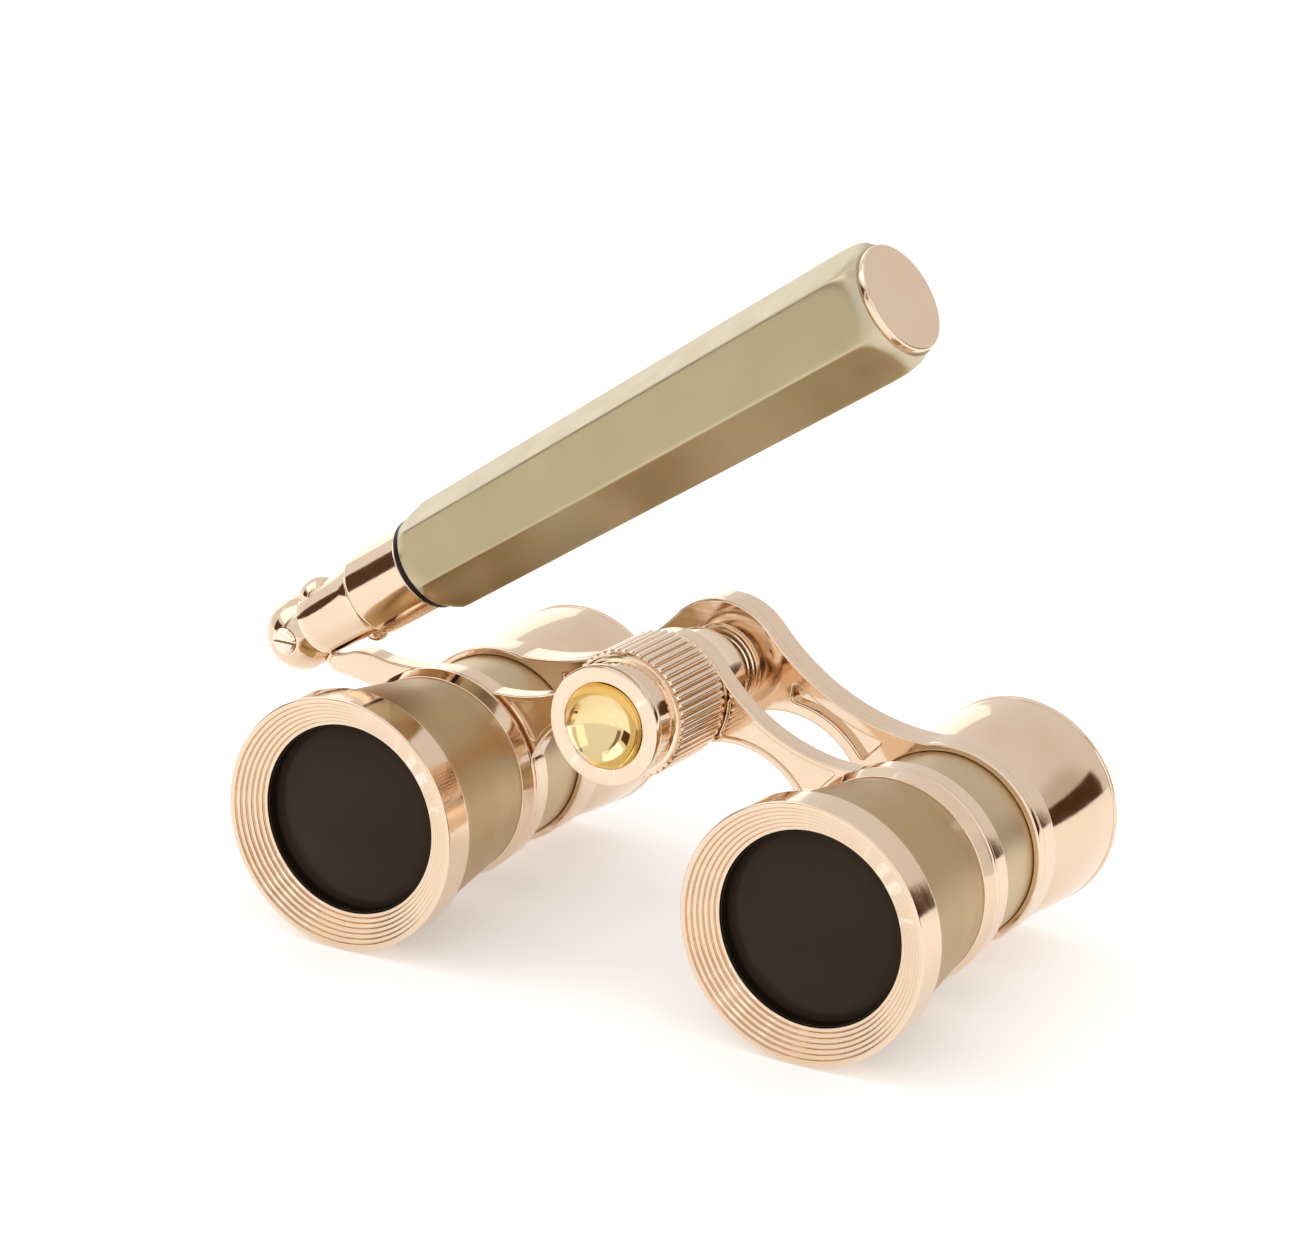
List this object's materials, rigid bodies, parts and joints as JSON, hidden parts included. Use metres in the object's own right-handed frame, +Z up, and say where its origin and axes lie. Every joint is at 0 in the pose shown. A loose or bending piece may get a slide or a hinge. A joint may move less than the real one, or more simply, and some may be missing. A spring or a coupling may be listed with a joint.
{
  "type": "opera glasses",
  "caption": "Small theatre binoculars with stepped objective rings, two arched bridges, a fluted focusing wheel and a folding six-sided telescoping side handle.",
  "frame": {"origin": "middle of the footprint at rest, on the floor under the objective rings", "axes": "-Y the way the objectives look, +Y towards the eyes, +X to the right seen from the objectives, +Z up"},
  "size_m": [0.1089, 0.0578, 0.0929],
  "materials": {
    "polished_gold": "polished rose gold plating",
    "fluted_gold": "polished, fluted",
    "champagne_satin": "satin champagne anodising",
    "objective_glass": "dark polished glass",
    "eye_glass": "polished glass",
    "plain_steel": "turned",
    "plain_brass": "turned",
    "black_ring": "satin black"
  },
  "bodies": {
    "front_frame": {"front_bridge": "polished_gold", "spindle_sleeve": "polished_gold", "left_objective_ring": "polished_gold", "left_barrel": "champagne_satin", "left_objective_crown": "objective_glass", "left_objective_flint": "objective_glass", "right_objective_ring": "polished_gold", "right_barrel": "champagne_satin", "right_objective_crown": "objective_glass", "right_objective_flint": "objective_glass"},
    "focus_wheel": {"focus_dish": "polished_gold", "focus_drum": "fluted_gold", "focus_spindle": "plain_steel"},
    "rear_frame": {"rear_bridge": "polished_gold", "spindle_nut": "plain_brass", "rear_hub_cap": "polished_gold", "left_draw_tube": "champagne_satin", "left_eyecup": "polished_gold", "left_eye_lens": "eye_glass", "left_eye_lens_ring": "black_ring", "right_draw_tube": "champagne_satin", "right_eyecup": "polished_gold", "right_eye_lens": "eye_glass", "right_eye_lens_ring": "black_ring"},
    "handle_arm": {"handle_fork": "polished_gold", "pivot_screw": "polished_gold", "handle_tube": "plain_steel"},
    "handle_guide": {"handle_bush": "plain_brass"},
    "handle_grip": {"handle_sleeve": "champagne_satin", "handle_mouth_ring": "black_ring", "handle_end_cap": "polished_gold"}
  },
  "joints": [
    {"name": "focus_turn", "type": "hinge", "parent": "front_frame", "child": "focus_wheel", "pos_m": [0.00575, -0.00985, 0.0333], "axis": [0, 1, 0], "range_deg": [-361, 91]},
    {"name": "focus_slide", "type": "slide", "parent": "front_frame", "child": "rear_frame", "axis": [0, 1, 0], "range_m": [-0.0015, 0.006]},
    {"name": "handle_fold", "type": "hinge", "parent": "front_frame", "child": "handle_arm", "pos_m": [-0.04965, -0.00275, 0.0302], "axis": [0, -1, 0], "range_deg": [0, 225]},
    {"name": "handle_twist", "type": "hinge", "parent": "handle_arm", "child": "handle_guide", "pos_m": [0.0137, -0.00275, 0.07326], "axis": [0.8271, 0, 0.5621], "continuous": true},
    {"name": "handle_extend", "type": "slide", "parent": "handle_guide", "child": "handle_grip", "axis": [0.8271, 0, 0.5621], "range_m": [0, 0.046]}
  ],
  "couplings": [
    {"joint": "focus_turn", "follows": "focus_slide", "rad_per_m": -1047.2}
  ]
}
